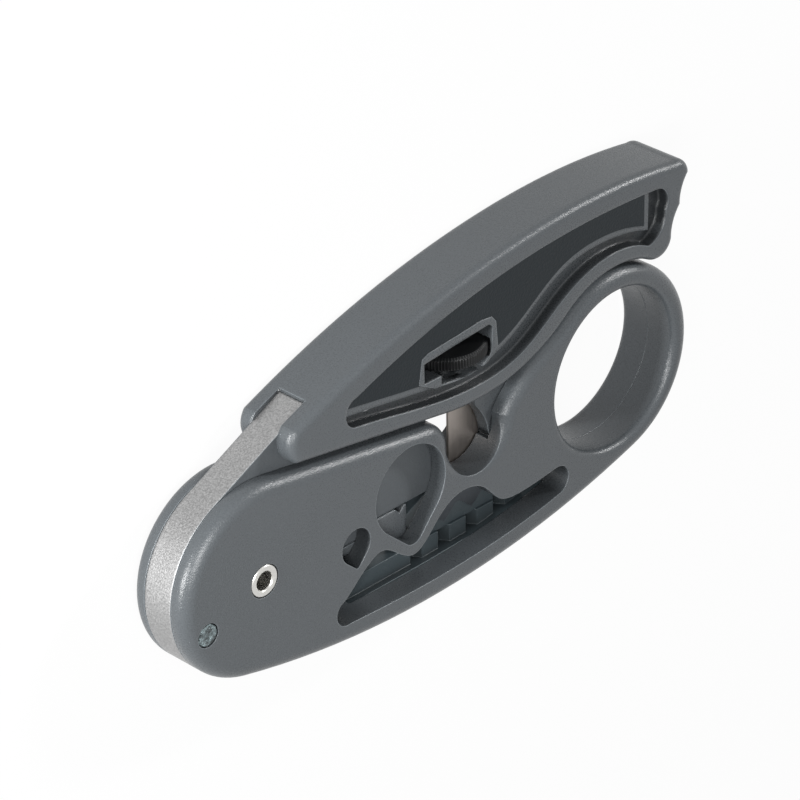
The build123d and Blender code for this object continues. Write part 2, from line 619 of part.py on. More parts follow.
def lever_handle():
    half = handle_half()
    handle = half + mirror(half, Plane.XY)
    handle -= along_y(WHEEL_X, WHEEL_R + WHEEL_CLEAR, WHEEL_LOW - 0.25, WHEEL_LOW + WHEEL_T + 0.25)
    handle -= along_y(WHEEL_X, SPINDLE_R + SPINDLE_BUSH_WALL + SEAT, WHEEL_LOW, SPINDLE_BUSH_TOP)
    handle -= along_y(WHEEL_X, WASHER_R + 0.1, SPINDLE_BUSH_LOW - WASHER_T - 0.1, SPINDLE_BUSH_LOW)
    room = Rectangle(CARRIAGE_RIGHT - CARRIAGE_LEFT + 0.2, WHEEL_LOW - CARRIAGE_LOW + 0.1)
    centre = Pos((CARRIAGE_LEFT + CARRIAGE_RIGHT) / 2, (CARRIAGE_LOW + WHEEL_LOW) / 2)
    handle -= slab(centre * room, -CARRIAGE_T / 2 - 0.1, CARRIAGE_T / 2 + 0.1)
    well = patch((CARRIAGE_LEFT - 0.1, 10), (CLAW_LEFT - 0.4, 10), (CLAW_LEFT - 0.4, 14),
                 (CARRIAGE_LEFT - 0.1, 14))
    handle -= slab(well, -CARRIAGE_T / 2 - 0.1, CARRIAGE_T / 2 + 0.1)
    for x, y in ARM_PINS:
        handle -= rod(x, y, ARM_PIN_R + SEAT, -OUT, ARM_PIN_HALF)
    leaf = patch((LEAF_X - 0.1 - LEAF_T / 2, LEAF_LOW), (LEAF_X + 0.1 + LEAF_T / 2, LEAF_LOW),
                 (LEAF_X + 0.1 + LEAF_T / 2, LEAF_TOP), (LEAF_X - 0.1 - LEAF_T / 2, LEAF_TOP))
    return handle - slab(leaf, -LEAF_W / 2 - SEAT, LEAF_W / 2 + SEAT)


def lever_label():
    low = HALF - PANEL_SINK
    return slab(label_outline(), low, low + LABEL_T)


def adjuster_wheel():
    """Wheel with straight knurls cut round its rim."""
    seat = Plane((WHEEL_X, WHEEL_LOW, 0), x_dir=(1, 0, 0), z_dir=(0, 1, 0))
    pitch = 360 / KNURLS
    corners = []
    for i in range(KNURLS):
        corners += [on_circle(0, 0, WHEEL_R, i * pitch), on_circle(0, 0, WHEEL_R, (i + 0.4) * pitch),
                    on_circle(0, 0, WHEEL_R - KNURL_DEPTH, (i + 0.7) * pitch)]
    rim = patch(*corners) - Circle(SPINDLE_R + SEAT)
    return extrude(seat * rim, WHEEL_T)


def adjuster_spindle():
    return along_y(WHEEL_X, SPINDLE_R, SPINDLE_LOW, SPINDLE_TOP)


def ring_on_spindle(radius, low, thickness, clearance):
    return (along_y(WHEEL_X, radius, low, low + thickness)
            - along_y(WHEEL_X, SPINDLE_R + clearance, low - 1, low + thickness + 1))


def spacer_sleeve():
    low = WHEEL_LOW + WHEEL_T
    return ring_on_spindle(SLEEVE_R, low, SPINDLE_BUSH_LOW - WASHER_T - SLEEVE_PLAY - low, SEAT)


def thrust_washer():
    return ring_on_spindle(WASHER_R, SPINDLE_BUSH_LOW - WASHER_T, WASHER_T, FIT)


def spindle_bush():
    return ring_on_spindle(SPINDLE_R + SPINDLE_BUSH_WALL, SPINDLE_BUSH_LOW,
                           SPINDLE_BUSH_TOP - SPINDLE_BUSH_LOW, FIT)


def blade_outline():
    return patch((BLADE_SHANK_LEFT, BLADE_TOP), (BLADE_RIGHT - 0.4, BLADE_TOP),
                 (BLADE_RIGHT - 0.4, BLADE_SHOULDER), (BLADE_RIGHT, BLADE_SHOULDER),
                 (BLADE_RIGHT, BLADE_LOW), (BLADE_LEFT + BLADE_BEVEL, BLADE_LOW),
                 (BLADE_LEFT, BLADE_LOW + BLADE_BEVEL), (BLADE_LEFT, BLADE_SHOULDER),
                 (BLADE_SHANK_LEFT, BLADE_SHOULDER))


def jacket_blade():
    blade = slab(blade_outline(), -BLADE_T / 2, BLADE_T / 2)
    for x, y in RIVETS:
        blade -= rod(x, y, RIVET_R + SEAT, -1, 1)
    return blade


def blade_carriage():
    """Nut on the spindle that carries the blade."""
    size_x, size_y = CARRIAGE_RIGHT - CARRIAGE_LEFT, CARRIAGE_TOP - CARRIAGE_LOW
    centre = Pos((CARRIAGE_LEFT + CARRIAGE_RIGHT) / 2, (CARRIAGE_LOW + CARRIAGE_TOP) / 2)
    block = slab(centre * RectangleRounded(size_x, size_y, 0.6), -CARRIAGE_T / 2, CARRIAGE_T / 2)
    block -= along_y(WHEEL_X, SPINDLE_R + FIT, CARRIAGE_LOW - 1, CARRIAGE_TOP + 1)
    block -= slab(patch((BLADE_SHANK_LEFT - SEAT, 10), (BLADE_RIGHT - 0.4 + SEAT, 10),
                        (BLADE_RIGHT - 0.4 + SEAT, BLADE_TOP + SEAT),
                        (BLADE_SHANK_LEFT - SEAT, BLADE_TOP + SEAT)),
                  -BLADE_T / 2 - SEAT, BLADE_T / 2 + SEAT)
    for x, y in RIVETS:
        block -= rod(x, y, RIVET_R + SEAT, -OUT, OUT)
    return block


def blade_rivets():
    half = CARRIAGE_T / 2
    return Compound(children=[rod(x, y, RIVET_R, -half, half) for x, y in RIVETS])


def detent_leaf():
    return slab(Pos(LEAF_X, (LEAF_LOW + LEAF_TOP) / 2) * Rectangle(LEAF_T, LEAF_TOP - LEAF_LOW - 0.1),
                -LEAF_W / 2, LEAF_W / 2)


def build():
    """Every piece of the tool by its name."""
    half = cheek_half()
    return {
        "front_shell": front_shell(half),
        "rear_shell": rear_shell(half),
        "shell_dowels": shell_dowels(),
        "pivot_eyelet": pivot_eyelet(),
        "pivot_bush": pivot_bush(),
        "stop_pin": stop_pin(),
        "pivot_spring": pivot_spring(),
        "anvil_jaw": anvil_jaw(),
        "wire_comb": wire_comb(),
        "wire_blade": wire_blade(),
        "lever_arm": lever_arm(),
        "lever_handle": lever_handle(),
        "arm_pins": arm_pins(),
        "lever_label": lever_label(),
        "spindle_bush": spindle_bush(),
        "detent_leaf": detent_leaf(),
        "adjuster_wheel": adjuster_wheel(),
        "adjuster_spindle": adjuster_spindle(),
        "spacer_sleeve": spacer_sleeve(),
        "thrust_washer": thrust_washer(),
        "blade_carriage": blade_carriage(),
        "jacket_blade": jacket_blade(),
        "blade_rivets": blade_rivets(),
    }


os.makedirs("parts", exist_ok=True)
for name, solid in build().items():
    export_step(solid, f"parts/{name}.step")
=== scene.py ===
import math

import bmesh
import bpy
import numpy as np
from bpy.props import FloatProperty, FloatVectorProperty, IntProperty, PointerProperty
from bpy.types import Operator, Panel, PropertyGroup
from mathutils import Matrix, Vector


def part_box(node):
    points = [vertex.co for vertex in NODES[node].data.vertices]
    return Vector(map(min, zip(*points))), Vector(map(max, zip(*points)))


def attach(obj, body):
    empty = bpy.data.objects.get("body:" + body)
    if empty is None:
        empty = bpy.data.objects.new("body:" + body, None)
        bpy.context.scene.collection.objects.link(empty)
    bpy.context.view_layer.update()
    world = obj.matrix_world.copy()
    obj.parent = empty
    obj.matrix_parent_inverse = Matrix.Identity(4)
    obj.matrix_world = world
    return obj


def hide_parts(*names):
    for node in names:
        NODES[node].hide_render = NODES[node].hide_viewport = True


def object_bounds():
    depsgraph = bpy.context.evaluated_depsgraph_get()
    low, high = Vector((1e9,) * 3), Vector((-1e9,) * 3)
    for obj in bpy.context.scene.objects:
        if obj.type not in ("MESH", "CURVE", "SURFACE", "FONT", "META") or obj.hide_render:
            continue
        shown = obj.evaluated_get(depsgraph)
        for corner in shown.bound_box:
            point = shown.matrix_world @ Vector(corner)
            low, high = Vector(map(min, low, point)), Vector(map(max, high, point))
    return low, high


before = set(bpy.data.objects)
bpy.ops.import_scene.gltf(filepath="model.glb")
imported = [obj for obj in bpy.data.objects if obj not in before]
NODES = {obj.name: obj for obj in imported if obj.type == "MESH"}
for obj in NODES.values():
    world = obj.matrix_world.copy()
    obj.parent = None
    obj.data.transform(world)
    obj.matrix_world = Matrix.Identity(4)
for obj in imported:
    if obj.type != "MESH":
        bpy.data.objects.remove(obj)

bl_info = {
    "name": "Cable Stripper Looks",
    "version": (1, 0, 0),
    "blender": (4, 5, 0),
    "location": "3D View > Sidebar > Stripper",
    "description": "Dresses the packed cable stripper: moulded housing, lever, wheel, blades and studio",
    "category": "Object",
}

MM = 0.001
CAD_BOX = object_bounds()

# Moulded plastic: scales of its three noises, worn edges with a painted highlight, painted shade in
# recesses and the seam of the shells.
SPECKLE_SCALE = 3400.0
CLOUD_SCALE = 60.0
PATCH_SCALE = 420.0
GRAIN_DEPTH = 0.06 * MM
# Edges: reach of the edge mask, and how many times lighter the worn edges are, which also paints their
# highlight.
EDGE_RADIUS = 0.3 * MM
EDGE_WEAR_AND_HIGHLIGHT = 3.8
# Painted shade in recesses: how far the occlusion looks, and the darkest share of the colour there.
RECESS_SHADE_REACH = 9 * MM
PAINTED_RECESS_SHADE = 0.25
SEAM_HALF = 0.10 * MM
SEAM_DEPTH = -0.8

# Metal and film: depth of the relief.
DRAWN_DEPTH = 0.02 * MM
DENT_DEPTH = 1.2 * MM
PEBBLE_DEPTH = 0.06 * MM

# Shapes, in millimetres unless said otherwise.
SMOOTH_BELOW = math.radians(32)
WHEEL_BORE = 1.52
WHEEL_BAND = 1.6
KNURL_DEEP = 0.34
KNURL_STEPS = 6
EYELET_BORE = 1.7
EYELET_TUBE = 2.2
EYELET_RISE = 0.5
EYELET_LIP = 0.6
EYELET_STEPS = 96

# Comb: the base's outline, then the right end and the width of each block that stands on it.
COMB_BASE = ((17.6, -18.1), (17.6, -18.7), (22.6, -19.8), (55.0, -19.8), (73.0, -16.5), (73.0, -15.3),
             (57.0, -17.7), (43.0, -18.1))
COMB_RIGHT_ENDS = (40.5, 47.4, 54.4, 61.4, 68.4)
COMB_WIDTHS = (16.5, 4.1, 4.1, 4.1, 4.1)
COMB_SLANT = 2.0
COMB_FOOT = -18.4
COMB_FRONT = 0.2
WEB = ((37.2, -14.7), (61.8, -14.7), (61.8, -10.7), (57.0, -9.7), (52.4, -6.2), (46.0, -5.2), (41.0, -7.6),
       (37.2, -9.2))
WEB_FRONT = -0.3

# Studio, in metres: the floor under the tool, lamps and the camera that took the picture.
FLOOR_Z = CAD_BOX[0][2]
FLOOR_REACH = 6.0
BACKDROP_SHARE = 0.95
SKY_SHARE = 0.9
SKY_LIGHT = 0.1
TOOL_MIDDLE = (0.045, 0.01, 0.0)
TOOL_PIVOT = (0.0, 0.0, 0.0)
CAMERA_PLACE = Vector((-396.7, 373.1, 433.15)) * MM
CAMERA_RIGHT = Vector((0.69997, -0.01274, 0.71406))
CAMERA_UP = Vector((0.36709, 0.86407, -0.34442))
SENSOR_WIDTH = 36.0


class Link:
    """A shader socket that can be reckoned with: an expression on links adds its Math nodes."""

    def __init__(self, tree, socket):
        self.tree = tree
        self.socket = socket

    def _join(self, operation, first, second):
        node = self.tree.nodes.new("ShaderNodeMath")
        node.operation = operation
        for place, value in enumerate((first, second)):
            if isinstance(value, Link):
                self.tree.links.new(value.socket, node.inputs[place])
            else:
                node.inputs[place].default_value = value
        return Link(self.tree, node.outputs[0])

    def __add__(self, other):
        return self._join("ADD", self, other)

    def __radd__(self, other):
        return self._join("ADD", other, self)

    def __sub__(self, other):
        return self._join("SUBTRACT", self, other)

    def __rsub__(self, other):
        return self._join("SUBTRACT", other, self)

    def __mul__(self, other):
        return self._join("MULTIPLY", self, other)

    def __rmul__(self, other):
        return self._join("MULTIPLY", other, self)


class Finish:
    """A material under construction. `node` makes any node; Link expressions make the maths."""

    def __init__(self, name):
        self.material = bpy.data.materials.new(name)
        self.material.use_nodes = True
        self.tree = self.material.node_tree
        self.tree.nodes.clear()
        self.output = self.tree.nodes.new("ShaderNodeOutputMaterial")

    def node(self, kind, settings=None, output=0, **values):
        """One node of a type: its settings first, then the values or links of its sockets.

        A socket goes by its name, with underscores for spaces, or by its place, as in i6.
        """
        made = self.tree.nodes.new("ShaderNode" + kind)
        for key, value in (settings or {}).items():
            setattr(made, key, value)
        for key, value in values.items():
            by_place = key[0] == "i" and key[1:].isdigit()
            socket = made.inputs[int(key[1:]) if by_place else key.replace("_", " ")]
            if isinstance(value, Link):
                self.tree.links.new(value.socket, socket)
            else:
                socket.default_value = value
        return Link(self.tree, made.outputs[output])

    def place(self):
        """Object coordinates."""
        return self.node("TexCoord", output=3)

    def noise(self, scale, detail, roughness, place):
        return self.node("TexNoise", Vector=place, Scale=scale, Detail=detail, Roughness=roughness)

    def blend(self, factor, first, second):
        """Mix of two colours."""
        return self.node("Mix", {"data_type": "RGBA"}, output=2, i0=factor, i6=first, i7=second)

    def spread(self, value, start, end, low, high, interpolation="LINEAR"):
        """Map Range: low where the value is at start, high where it is at end."""
        return self.node("MapRange", {"interpolation_type": interpolation}, Value=value,
                         i1=start, i2=end, i3=low, i4=high)

    def bump(self, height, distance, strength=1.0, **base_normal):
        return self.node("Bump", Height=height, Distance=distance, Strength=strength, **base_normal)

    def surface(self, link):
        """Puts the shader on the output and gives the finished material."""
        self.tree.links.new(link.socket, self.output.inputs["Surface"])
        return self.material


def shade(red, green, blue):
    """Linear colour of an sRGB colour given in 0 to 255."""
    parts = np.array((red, green, blue)) / 255.0
    low, high = parts / 12.92, ((parts + 0.055) / 1.055) ** 2.4
    linear = np.where(parts <= 0.04045, low, high)
    return (float(linear[0]), float(linear[1]), float(linear[2]), 1.0)


def times(colour, factor):
    """A colour made lighter or darker by a factor."""
    return (colour[0] * factor, colour[1] * factor, colour[2] * factor, 1.0)


def edge_mask(finish):
    """Near 1 on an edge: how far the rounded normal leans from the true one."""
    rounded = finish.node("Bevel", {"samples": 6}, Radius=EDGE_RADIUS)
    true = finish.node("NewGeometry", output=1)
    agree = finish.node("VectorMath", {"operation": "DOT_PRODUCT"}, output=1, i0=rounded, i1=true)
    return finish.spread(agree, 0.99, 0.80, 0.0, 1.0)


def side_sheen_mask(finish):
    """1 on faces that look away from Z, where a sheen is painted, 0 on the flat faces: one less the square
    of the normal's Z.
    """
    upward = finish.node("SeparateXYZ", Vector=finish.node("NewGeometry", output=3), output=2)
    return 1.0 - upward * upward


def seam_groove(finish, place):
    """A fine groove where the two shells meet, at height nought."""
    height = finish.node("SeparateXYZ", Vector=place, output=2)
    return finish.spread(height * height, 0.0, SEAM_HALF ** 2, SEAM_DEPTH, 0.0, "SMOOTHSTEP")


def moulded_plastic(name, colour, grain=1.0, rough=0.30, soft_edge=0.7 * MM, edge_wear_and_highlight=0.8, seam=False,
                    shine=0.38, painted_sheen_grey=0.0):
    """Satin moulding: fine speckle in colour, gloss and height, worn soft edges lightened with a painted
    highlight, painted shade in recesses.

    `shine` is the specular level, and the last argument the grey of a painted sheen on the faces that look
    away from Z, which are also made metallic.
    """
    finish = Finish(name)
    place = finish.place()
    speckle = finish.noise(SPECKLE_SCALE, 2.0, 0.7, place)
    cloud = finish.noise(CLOUD_SCALE, 3.0, 0.5, place)
    patchy = finish.noise(PATCH_SCALE, 3.0, 0.6, place)
    tone = (speckle - 0.5) * 1.2 * grain + (cloud - 0.5) * 0.20 + 0.5
    base = finish.blend(tone, times(colour, 0.80), times(colour, 1.20))
    # Painted sheen: faces that look away from Z get a lighter speckled grey as base colour, and are made
    # metallic.
    side_sheen = 0.0
    if painted_sheen_grey:
        side_sheen = side_sheen_mask(finish)
        grey = (painted_sheen_grey, painted_sheen_grey, painted_sheen_grey, 1.0)
        painted_sheen = finish.blend((speckle - 0.5) * 3.0 + 0.5, times(grey, 0.75), times(grey, 1.25))
        base = finish.blend(side_sheen, base, painted_sheen)
    # Worn edges with a painted highlight: the colour lightens patchily along the edges.
    worn_and_highlit_edge = edge_mask(finish) * (patchy * 0.8 + 0.4) * edge_wear_and_highlight
    base = finish.blend(worn_and_highlit_edge, base, times(colour, EDGE_WEAR_AND_HIGHLIGHT))
    # Painted shade: the colour darkens where ambient occlusion finds the surface closed in.
    open_share = finish.node("AmbientOcclusion", {"samples": 6, "only_local": True}, output=1,
                             Distance=RECESS_SHADE_REACH)
    painted_recess_shade = finish.spread(open_share, 0.95, 0.55, 0.0, 0.9)
    base = finish.blend(painted_recess_shade, base, times(colour, PAINTED_RECESS_SHADE))
    gloss = (speckle - 0.5) * 0.30 * grain + (cloud - 0.5) * 0.10 + rough
    soft = finish.node("Bevel", {"samples": 8}, Radius=soft_edge)
    height = speckle + seam_groove(finish, place) if seam else speckle
    relief = finish.bump(height, GRAIN_DEPTH * grain, Normal=soft)
    shader = finish.node("BsdfPrincipled", Base_Color=base, Metallic=side_sheen, Roughness=gloss,
                         Normal=relief, Specular_IOR_Level=shine)
    return finish.surface(shader)


def metal(name, colour, rough, streaks=(1.0, 1.0, 1.0)):
    """Bright or ground metal, with fine streaks along the axis whose factor is small."""
    finish = Finish(name)
    place = finish.place()
    drawn = finish.node("Mapping", Vector=place, Scale=streaks)
    lines = finish.noise(3000.0, 3.0, 0.6, drawn)
    cloud = finish.noise(140.0, 2.0, 0.5, place)
    base = finish.blend(lines * 0.6 + cloud * 0.4, times(colour, 0.78), times(colour, 1.15))
    gloss = (lines - 0.5) * 0.25 + (cloud - 0.5) * 0.15 + rough
    relief = finish.bump(lines, DRAWN_DEPTH, 0.6)
    shader = finish.node("BsdfPrincipled", Base_Color=base, Metallic=1.0, Roughness=gloss,
                         Normal=relief)
    return finish.surface(shader)


def hammered(name, colour):
    """Grey riveted head, dented all over, with a painted highlight on the ridges and painted shade in the
    dents.
    """
    finish = Finish(name)
    dents = finish.noise(900.0, 3.0, 0.65, finish.place())
    # Painted highlight and shade: the colour follows the dents' height, lighter on the ridges and darker
    # in the dents.
    base = finish.blend((dents - 0.5) * 4.0 + 0.45, times(colour, 0.3), times(colour, 2.0))
    relief = finish.bump(dents, DENT_DEPTH)
    shader = finish.node("BsdfPrincipled", Base_Color=base, Metallic=0.5,
                         Roughness=dents * 0.4 + 0.25, Normal=relief)
    return finish.surface(shader)


def label_film(name, colour):
    """Dark film with a pebbled face."""
    finish = Finish(name)
    place = finish.place()
    pebble = finish.node("TexVoronoi", Vector=place, Scale=2300.0)
    fleck = finish.noise(4200.0, 2.0, 0.6, place)
    base = finish.blend(fleck * 0.8 + pebble * 0.3, times(colour, 0.6), times(colour, 1.6))
    relief = finish.bump(pebble + fleck * 0.5, PEBBLE_DEPTH, 0.7)
    shader = finish.node("BsdfPrincipled", Base_Color=base, Roughness=(fleck - 0.5) * 0.3 + 0.50,
                         Normal=relief, Specular_IOR_Level=0.18)
    return finish.surface(shader)


def grid(points, wrap=(False, False)):
    """Surface over a grid: each cell of neighbouring rows and columns becomes a quad."""
    rows, columns = points.shape[:2]
    row = np.arange(rows if wrap[0] else rows - 1)[:, None]
    column = np.arange(columns if wrap[1] else columns - 1)[None, :]
    ahead, beside = (row + 1) % rows, (column + 1) % columns
    corners = np.stack([row * columns + column, row * columns + beside, ahead * columns + beside,
                        ahead * columns + column], axis=-1)
    return points.reshape(-1, 3), corners.reshape(-1, 4).tolist()


def prism(outline, low, high, across=2):
    """Solid over a flat outline: the corners at two levels on one axis, walls between, two caps."""
    count = len(outline)
    points = np.insert(np.repeat([outline], 2, axis=0).astype(float), across, 0.0, axis=-1)
    points[0, :, across], points[1, :, across] = low, high
    points, faces = grid(points, (False, True))
    return points, faces + [list(range(count)), list(range(count, 2 * count))]


def turned(reach, height, angle, across, centre):
    """Grid of points that go round one axis: a radius and a height for each row and angle."""
    first, second = [axis for axis in range(3) if axis != across]
    points = np.empty(np.broadcast_shapes(reach.shape, height.shape, angle.shape) + (3,))
    points[..., first] = centre[first] + reach * np.cos(angle)
    points[..., second] = centre[second] + reach * np.sin(angle)
    points[..., across] = centre[across] + height
    return points


def lathe(profile, steps):
    """Ring: each point of the closed profile, a radius and a height, turns once round Z."""
    angle = np.linspace(0.0, 2 * np.pi, steps, endpoint=False)[None, :]
    radius, height = (np.asarray(profile, float)[:, i, None] for i in (0, 1))
    return grid(turned(radius, height, angle, 2, (0.0, 0.0, 0.0)), (True, True))


def new_piece(name, surfaces, material, body, node=None, round_by=0.0):
    """One object from closed surfaces in millimetres, faced outwards, on a body of the tool."""
    points, faces = [], []
    for some_points, some_faces in surfaces:
        start = sum(len(block) for block in points)
        faces += [[start + corner for corner in face] for face in some_faces]
        points.append(some_points)
    mesh = bpy.data.meshes.new(name)
    mesh.from_pydata((np.concatenate(points) * MM).tolist(), [], faces)
    work = bmesh.new()
    work.from_mesh(mesh)
    bmesh.ops.recalc_face_normals(work, faces=work.faces)
    work.to_mesh(mesh)
    work.free()
    mesh.shade_smooth()
    mesh.set_sharp_from_angle(angle=SMOOTH_BELOW)
    mesh.materials.append(material)
    piece = bpy.data.objects.new(name, mesh)
    bpy.context.scene.collection.objects.link(piece)
    if round_by:
        softened = piece.modifiers.new("soft edges", "BEVEL")
        softened.width = round_by * MM
        softened.segments = 3
        softened.limit_method = "ANGLE"
        softened.harden_normals = True
    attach(piece, body)
    if node:
        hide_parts(node)
    return piece


def node_box(name):
    """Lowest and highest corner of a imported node, in millimetres."""
    return [np.array(corner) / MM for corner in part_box(name)]


def dress(material, *names):
    """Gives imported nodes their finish."""
    for name in names:
        piece = NODES[name]
        piece.data.materials.clear()
        piece.data.materials.append(material)


class StripperSettings(PropertyGroup):
    """Colours and sizes that a user would change."""

    housing: FloatVectorProperty(name="Housing", description="Colour of the moulded body and lever",
                                 subtype="COLOR", size=4, default=shade(74, 78, 81))
    insert: FloatVectorProperty(name="Insert", description="Colour of the comb and its web",
                                subtype="COLOR", size=4, default=shade(56, 65, 69))
    wheel: FloatVectorProperty(name="Wheel", description="Colour of the knurled wheel",
                               subtype="COLOR", size=4, default=shade(18, 19, 20))
    film: FloatVectorProperty(name="Label", description="Colour of the bare label film",
                              subtype="COLOR", size=4, default=shade(21, 26, 29))
    grain: FloatProperty(name="Grain", description="Strength of the moulded grain",
                         subtype="FACTOR", default=1.0, min=0.0, max=3.0)
    knurls: IntProperty(name="Knurls", description="Teeth round the wheel",
                        default=84, min=12, max=200)


class StudioSettings(PropertyGroup):
    """Camera and lamps."""

    lens: FloatProperty(name="Lens", description="Focal length of the camera",
                        unit="CAMERA", default=189.0)
    side_power: FloatProperty(name="Side", description="Power of the low side lamp in watts",
                              unit="POWER", default=11.0)
    rim_power: FloatProperty(name="Rim", description="Power of the small edge lamp in watts",
                             unit="POWER", default=4.5)
    fill_power: FloatProperty(name="Fill", description="Power of the fill lamp in watts",
                              unit="POWER", default=0.9)


def settings():
    """The user's colours and sizes."""
    return bpy.context.scene.stripper


def studio():
    """The user's camera and lamps."""
    return bpy.context.scene.stripper_studio


class STRIPPER_OT_housing(Operator):
    """Finish the two shells and the lever"""
    bl_idname = "stripper.housing"
    bl_label = "Housing"

    def execute(self, context):
        colour, grain = settings().housing, settings().grain
        shells = moulded_plastic("shell_plastic", colour, grain, soft_edge=0.35 * MM, seam=True)
        lever = moulded_plastic("lever_plastic", colour, grain, soft_edge=0.9 * MM)
        # The arm's side faces carry a painted sheen.
        plate = moulded_plastic("arm_plastic", colour, grain, 0.54, soft_edge=0.5 * MM,
                                painted_sheen_grey=0.33)
        dress(shells, "front_shell", "rear_shell")
        dress(lever, "lever_handle", "anvil_jaw", "blade_carriage")
        dress(plate, "lever_arm")
        return {"FINISHED"}


class STRIPPER_OT_label(Operator):
    """Finish the bare label"""
    bl_idname = "stripper.label"
    bl_label = "Label"

    def execute(self, context):
        dress(label_film("label_film", settings().film), "lever_label")
        return {"FINISHED"}


class STRIPPER_OT_comb(Operator):
    """Make the stepped comb of the slot and the web behind the wire blade"""
    bl_idname = "stripper.comb"
    bl_label = "Comb"

    def execute(self, context):
        dark = moulded_plastic("insert_plastic", settings().insert, 0.5, 0.42, soft_edge=0.2 * MM,
                               edge_wear_and_highlight=0.45)
        low, high = node_box("wire_comb")
        back = low[2]
        surfaces = [prism(COMB_BASE, back, high[2])]
        for end, width in zip(COMB_RIGHT_ENDS, COMB_WIDTHS):
            start = end - width
            plan = ((start, COMB_FRONT), (end, COMB_FRONT), (end, back), (start - COMB_SLANT, back))
            surfaces.append(prism(plan, COMB_FOOT, high[1], 1))
        comb = new_piece("stepped_comb", surfaces, dark, "shell_body", "wire_comb", 0.12)
        web = new_piece("slot_web", [prism(WEB, back + 0.1, WEB_FRONT)], dark, "shell_body",
                        round_by=0.1)
        return {"FINISHED"}


def wheel_surface(knurls):
    """Knurled ring: the radius falls by a triangle wave round Y, less towards the chamfers.

    Each row is a radius and a height. A row of the rim gives its height, how far it stands in from
    the radius, and its share of the knurls' depth.
    """
    low, high = node_box("adjuster_wheel")
    centre = (low + high) / 2
    radius, half = (high[0] - low[0]) / 2, (high[1] - low[1]) / 2
    steps = knurls * KNURL_STEPS
    phase = (np.arange(steps) / KNURL_STEPS) % 1.0
    tooth = np.clip(np.abs(phase - 0.5) * 3.2 - 0.25, 0.0, 1.0)
    rim = ((-half, 0.75, 0.0), (-half + 0.35, 0.1, 0.7), (-half + 0.6, 0.0, 1.0),
           (half - 0.6, 0.0, 1.0), (half - 0.35, 0.1, 0.7), (half, 0.75, 0.0))
    plain = np.ones(steps)
    rows = [(plain * WHEEL_BORE, -half), (plain * (radius - WHEEL_BAND), -half)]
    rows += [(radius - inset - KNURL_DEEP * share * tooth, height) for height, inset, share in rim]
    rows += [(plain * (radius - WHEEL_BAND), half), (plain * WHEEL_BORE, half)]
    reach = np.array([row[0] for row in rows])
    height = np.array([row[1] for row in rows])[:, None]
    angle = np.linspace(0.0, 2 * np.pi, steps, endpoint=False)[None, :]
    return grid(turned(reach, height, angle, 1, centre), (True, True))


class STRIPPER_OT_wheel(Operator):
    """Make the finely knurled wheel and finish its sleeve"""
    bl_idname = "stripper.wheel"
    bl_label = "Wheel"

    def execute(self, context):
        black = moulded_plastic("wheel_plastic", settings().wheel, 0.4, 0.34, soft_edge=0.1 * MM,
                                edge_wear_and_highlight=0.35, shine=0.3)
        dress(black, "spacer_sleeve")
        wheel = new_piece("knurled_wheel", [wheel_surface(settings().knurls)], black, "adjuster",
                          "adjuster_wheel")
        return {"FINISHED"}


def eyelet_profile(flange, half):
    """Closed outline of the eyelet: a half ellipse rolled over from bore to flange, then the tube.

    The lower half mirrors the upper one.
    """
    middle, reach = (EYELET_BORE + flange) / 2, (flange - EYELET_BORE) / 2
    bend = np.radians(np.linspace(180, 0, 13))
    top = [(middle + reach * math.cos(a), half - EYELET_RISE + EYELET_RISE * math.sin(a))
           for a in bend]
    top += [(flange, half - EYELET_LIP), (EYELET_TUBE, half - EYELET_LIP)]
    return top + [(radius, -height) for radius, height in reversed(top)]


class STRIPPER_OT_eyelet(Operator):
    """Make the bright eyelet with its rolled lips"""
    bl_idname = "stripper.eyelet"
    bl_label = "Eyelet"

    def execute(self, context):
        nickel = metal("bright_nickel", shade(206, 205, 201), 0.27)
        high = node_box("pivot_eyelet")[1]
        ring = lathe(eyelet_profile(high[0], high[2]), EYELET_STEPS)
        eyelet = new_piece("rolled_eyelet", [ring], nickel, "shell_body", "pivot_eyelet")
        return {"FINISHED"}


class STRIPPER_OT_metal(Operator):
    """Finish the pins, blades and other metal"""
    bl_idname = "stripper.metal"
    bl_label = "Metal"

    def execute(self, context):
        dress(metal("ground_blade", shade(168, 160, 154), 0.42, (1.0, 0.05, 1.0)), "jacket_blade")
        dress(metal("black_steel", shade(70, 74, 78), 0.40, (0.05, 1.0, 1.0)), "wire_blade")
        dress(hammered("hammered_head", shade(88, 98, 100)), "stop_pin")
        dress(metal("pin_steel", shade(150, 152, 154), 0.34), "shell_dowels", "pivot_bush",
              "pivot_spring", "arm_pins", "spindle_bush", "detent_leaf", "adjuster_spindle",
              "thrust_washer", "blade_rivets")
        return {"FINISHED"}


def area_lamp(name, place, target, size, power):
    """A square lamp that faces a target."""
    data = bpy.data.lights.new(name, "AREA")
    data.shape = "SQUARE"
    data.size = size
    data.energy = power
    lamp = bpy.data.objects.new(name, data)
    bpy.context.scene.collection.objects.link(lamp)
    lamp.location = place
    lamp.rotation_euler = (Vector(target) - Vector(place)).to_track_quat("-Z", "Y").to_euler()
    return lamp


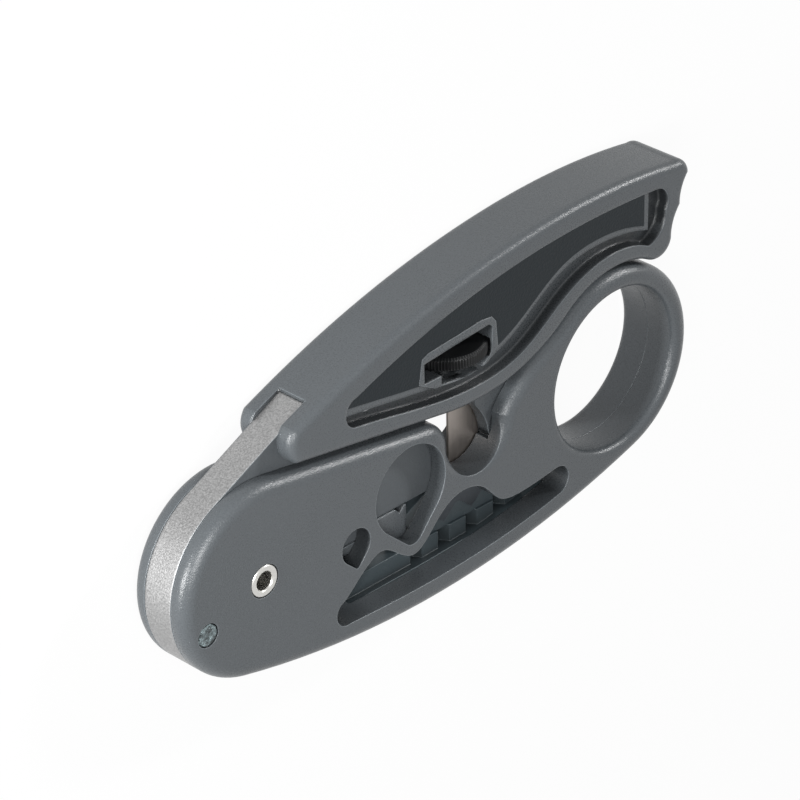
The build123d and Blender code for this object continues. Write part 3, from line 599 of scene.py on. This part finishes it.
class STRIPPER_OT_studio(Operator):
    """Make the floor, the lamps and the camera"""
    bl_idname = "stripper.studio"
    bl_label = "Studio"

    def execute(self, context):
        self.make_floor()
        self.make_world()
        self.make_lamps()
        self.make_camera()
        context.scene.view_settings.view_transform = "Standard"
        return {"FINISHED"}

    def make_floor(self):
        """Pale paper that keeps the shadow, and is white to the camera and in reflections."""
        mesh = bpy.data.meshes.new("floor")
        corners = [(x * FLOOR_REACH, y * FLOOR_REACH, FLOOR_Z)
                   for x, y in ((-1, -1), (1, -1), (1, 1), (-1, 1))]
        mesh.from_pydata(corners, [], [(0, 1, 2, 3)])
        floor = bpy.data.objects.new("floor", mesh)
        bpy.context.scene.collection.objects.link(floor)
        finish = Finish("white_floor")
        seen = finish.node("LightPath", output=0)
        mirrored = finish.node("LightPath", output=3)
        through = finish.node("LightPath", output=6)
        paper = finish.node("BsdfDiffuse", Color=(0.8, 0.8, 0.8, 1.0))
        glow = finish.node("Emission", Color=(1.0, 1.0, 1.0, 1.0), Strength=1.0)
        white = (seen + mirrored + through) * BACKDROP_SHARE
        mesh.materials.append(finish.surface(finish.node("MixShader", Fac=white, i1=paper, i2=glow)))

    def make_world(self):
        """White to the camera, in reflections and through glass, and a faint even light."""
        world = bpy.data.worlds.new("soft_white")
        world.use_nodes = True
        tree = world.node_tree
        tree.nodes.clear()
        path = tree.nodes.new("ShaderNodeLightPath")
        sky = tree.nodes.new("ShaderNodeBackground")
        sky.inputs["Color"].default_value = (1.0, 1.0, 1.0, 1.0)
        seen, through, mirrored = (Link(tree, path.outputs[name]) for name in
                                   ("Is Camera Ray", "Is Transmission Ray", "Is Glossy Ray"))
        strength = (seen + through + mirrored) * SKY_SHARE + SKY_LIGHT
        tree.links.new(strength.socket, sky.inputs["Strength"])
        out = tree.nodes.new("ShaderNodeOutputWorld")
        tree.links.new(sky.outputs[0], out.inputs["Surface"])
        bpy.context.scene.world = world

    def make_lamps(self):
        """A low lamp on the nose, a small one that draws the edges and a near one that fills."""
        power = studio()
        area_lamp("side", (-0.88, 0.12, 0.05), TOOL_MIDDLE, 0.12, power.side_power)
        area_lamp("rim", (0.68, 0.46, 0.40), TOOL_MIDDLE, 0.09, power.rim_power)
        area_lamp("fill", (-0.16, 0.10, 0.22), TOOL_PIVOT, 0.12, power.fill_power)

    def make_camera(self):
        """The camera of the picture, from its place and the directions to its right and up."""
        data = bpy.data.cameras.new("view")
        data.lens = studio().lens
        data.sensor_width = SENSOR_WIDTH
        data.clip_end = 50.0
        camera = bpy.data.objects.new("view", data)
        bpy.context.scene.collection.objects.link(camera)
        back = CAMERA_RIGHT.cross(CAMERA_UP).normalized()
        up = back.cross(CAMERA_RIGHT).normalized()
        turn = Matrix((CAMERA_RIGHT.normalized(), up, back)).transposed()
        camera.matrix_world = Matrix.Translation(CAMERA_PLACE) @ turn.to_4x4()
        bpy.context.scene.camera = camera


class STRIPPER_PT_panel(Panel):
    """Lists the steps that dress the stripper"""
    bl_label = "Cable Stripper"
    bl_idname = "STRIPPER_PT_panel"
    bl_space_type = "VIEW_3D"
    bl_region_type = "UI"
    bl_category = "Stripper"

    def draw(self, context):
        for step in STEPS:
            self.layout.operator(step.bl_idname)


STEPS = (STRIPPER_OT_housing, STRIPPER_OT_label, STRIPPER_OT_comb, STRIPPER_OT_wheel,
         STRIPPER_OT_eyelet, STRIPPER_OT_metal, STRIPPER_OT_studio)
CLASSES = (StripperSettings, StudioSettings, *STEPS, STRIPPER_PT_panel)


def register():
    for item in CLASSES:
        bpy.utils.register_class(item)
    bpy.types.Scene.stripper = PointerProperty(type=StripperSettings)
    bpy.types.Scene.stripper_studio = PointerProperty(type=StudioSettings)


def unregister():
    del bpy.types.Scene.stripper
    del bpy.types.Scene.stripper_studio
    for item in reversed(CLASSES):
        bpy.utils.unregister_class(item)


def main():
    register()
    for step in STEPS:
        group, name = step.bl_idname.split(".")
        getattr(getattr(bpy.ops, group), name)()


if __name__ == "__main__":
    main()
